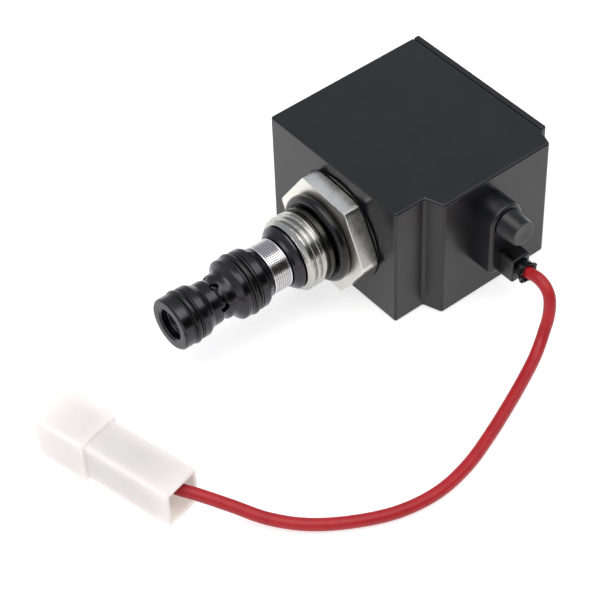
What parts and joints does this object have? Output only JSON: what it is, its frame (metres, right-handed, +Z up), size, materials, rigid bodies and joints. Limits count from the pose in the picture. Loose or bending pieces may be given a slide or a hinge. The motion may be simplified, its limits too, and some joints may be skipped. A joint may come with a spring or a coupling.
{
  "type": "solenoid cartridge valve",
  "caption": "Screw-in solenoid cartridge valve: boxy black coil, threaded hex adapter, ported cage with filter screen and seals, and one red lead ending in a white connector",
  "frame": {"origin": "centre of the coil housing's base, straight under the cartridge axis", "axes": "+X along the cartridge towards its nose, +Y towards the lead boss, +Z up"},
  "size_m": [0.1367, 0.091, 0.0343],
  "materials": {
    "moulded_black": "black glass-filled moulding compound, satin",
    "cover_black": "black moulded cover, satin",
    "rubber_black": "black nitrile rubber with a soft sheen",
    "backup_black": "black filled PTFE backup ring",
    "zinc_plated": "bright zinc-plated steel, fine turned and milled grain",
    "black_oxide": "black-oxide turned steel, oily sheen",
    "stainless": "stainless steel, woven on the screen",
    "soft_iron": "bare soft magnetic iron, ground",
    "spring_steel": "drawn spring steel",
    "bobbin_nylon": "natural nylon",
    "copper": "enamelled copper wire",
    "winding_tape": "amber insulating tape",
    "brass": "stamped brass strip",
    "tinned_brass": "tinned brass",
    "red_insulation": "red PVC wire insulation, satin",
    "clear_nylon": "milky natural nylon, slightly see-through"
  },
  "bodies": {
    "coil": {"coil_housing": "moulded_black", "rear_cover": "cover_black", "front_flux_plate": "soft_iron", "rear_flux_plate": "soft_iron", "flux_sleeve": "soft_iron", "coil_bobbin": "bobbin_nylon", "copper_winding": "copper", "winding_tape": "winding_tape", "lead_terminal": "brass", "ground_strap": "brass", "inner_lead": "red_insulation", "lead_port_plug": "moulded_black", "lead_grommet": "rubber_black", "lead_wire": "red_insulation", "connector_shell": "clear_nylon", "crimp_terminal": "tinned_brass"},
    "cartridge": {"hex_adapter": "zinc_plated", "coil_seal_ring": "rubber_black", "seat_o_ring": "rubber_black", "guide_tube": "stainless", "tube_end_stud": "zinc_plated", "pole_piece": "soft_iron", "anti_stick_shim": "brass", "valve_cage": "black_oxide", "mesh_screen": "stainless", "rear_o_ring": "rubber_black", "rear_backup_ring_inner": "backup_black", "rear_backup_ring_outer": "backup_black", "front_o_ring": "rubber_black", "front_backup_ring_inner": "backup_black", "front_backup_ring_outer": "backup_black", "spring_seat": "stainless", "nose_snap_ring": "spring_steel", "coil_nut": "zinc_plated", "nut_o_ring": "rubber_black", "return_spring": "spring_steel"},
    "armature": {"armature": "soft_iron", "push_pin": "stainless"},
    "spool": {"spool": "soft_iron"}
  },
  "joints": [
    {"name": "coil_swivel", "type": "hinge", "parent": "coil", "child": "cartridge", "pos_m": [0, 0, 0.01715], "axis": [1, 0, 0], "continuous": true},
    {"name": "armature_slide", "type": "slide", "parent": "cartridge", "child": "armature", "axis": [1, 0, 0], "range_m": [0, 0.003], "stiffness_N_per_m": 1500, "springref_m": -0.002},
    {"name": "spool_slide", "type": "slide", "parent": "cartridge", "child": "spool", "axis": [1, 0, 0], "range_m": [0, 0.003], "deforming": ["return_spring"]}
  ],
  "couplings": [
    {"joint": "spool_slide", "follows": "armature_slide", "ratio": 1}
  ]
}
